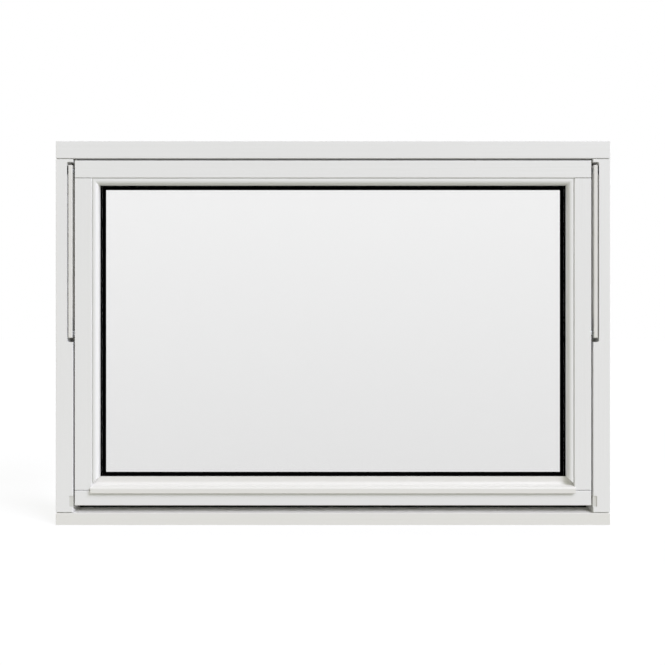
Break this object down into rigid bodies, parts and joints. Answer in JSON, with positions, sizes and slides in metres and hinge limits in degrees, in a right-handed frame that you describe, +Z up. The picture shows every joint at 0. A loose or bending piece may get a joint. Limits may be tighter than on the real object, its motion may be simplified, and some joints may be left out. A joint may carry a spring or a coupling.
{
  "type": "top pivot window",
  "caption": "White painted timber top pivot window: fixed frame, flush outward sash with sealed glazing, mitred beads, drip bead and hinge arms let into the jambs.",
  "frame": {"origin": "centre of the sill's underside", "axes": "+X to the right seen from outside, +Y from outside to the room, +Z up"},
  "size_m": [1.3, 0.1115, 0.9],
  "materials": {
    "frame_paint": "satin white paint on pine",
    "sill_paint": "satin white paint on pine",
    "sash_paint": "satin white paint on pine",
    "bead_paint": "satin white paint on pine",
    "drip_bead_paint": "satin white paint on pine",
    "clear_glass": "clear float glass",
    "black_spacer": "matt black edge spacer and sealant",
    "black_rubber": "matt black extruded rubber",
    "setting_plastic": "moulded black plastic",
    "arm_paint": "white powder coat on steel",
    "pivot_steel": "zinc plated steel",
    "track_aluminium": "natural anodised extrusion",
    "shoe_plastic": "moulded white plastic",
    "block_plastic": "moulded light grey plastic",
    "handle_nickel": "satin nickel"
  },
  "bodies": {
    "root": {"frame_head": "frame_paint", "left_jamb": "frame_paint", "right_jamb": "frame_paint", "frame_sill": "sill_paint", "sash_top_rail": "sash_paint", "sash_bottom_rail": "sash_paint", "left_stile": "sash_paint", "right_stile": "sash_paint", "top_bead": "bead_paint", "left_bead": "bead_paint", "right_bead": "bead_paint", "bottom_drip_bead": "drip_bead_paint", "outer_pane": "clear_glass", "inner_pane": "clear_glass", "spacer_frame": "black_spacer", "edge_seal": "black_spacer", "outer_gasket": "black_rubber", "inner_tape": "black_rubber", "head_seal": "black_rubber", "sill_seal": "black_rubber", "sash_foot_seal": "black_rubber", "left_seal": "black_rubber", "right_seal": "black_rubber", "setting_blocks": "setting_plastic", "left_hinge_arm": "arm_paint", "right_hinge_arm": "arm_paint", "left_frame_pivot": "pivot_steel", "left_sash_pivot": "pivot_steel", "right_frame_pivot": "pivot_steel", "right_sash_pivot": "pivot_steel", "left_guide_track": "track_aluminium", "right_guide_track": "track_aluminium", "left_guide_shoe": "shoe_plastic", "right_guide_shoe": "shoe_plastic", "left_guide_block": "block_plastic", "right_guide_block": "block_plastic", "handle_rose": "handle_nickel", "handle_lever": "handle_nickel"}
  },
  "joints": []
}
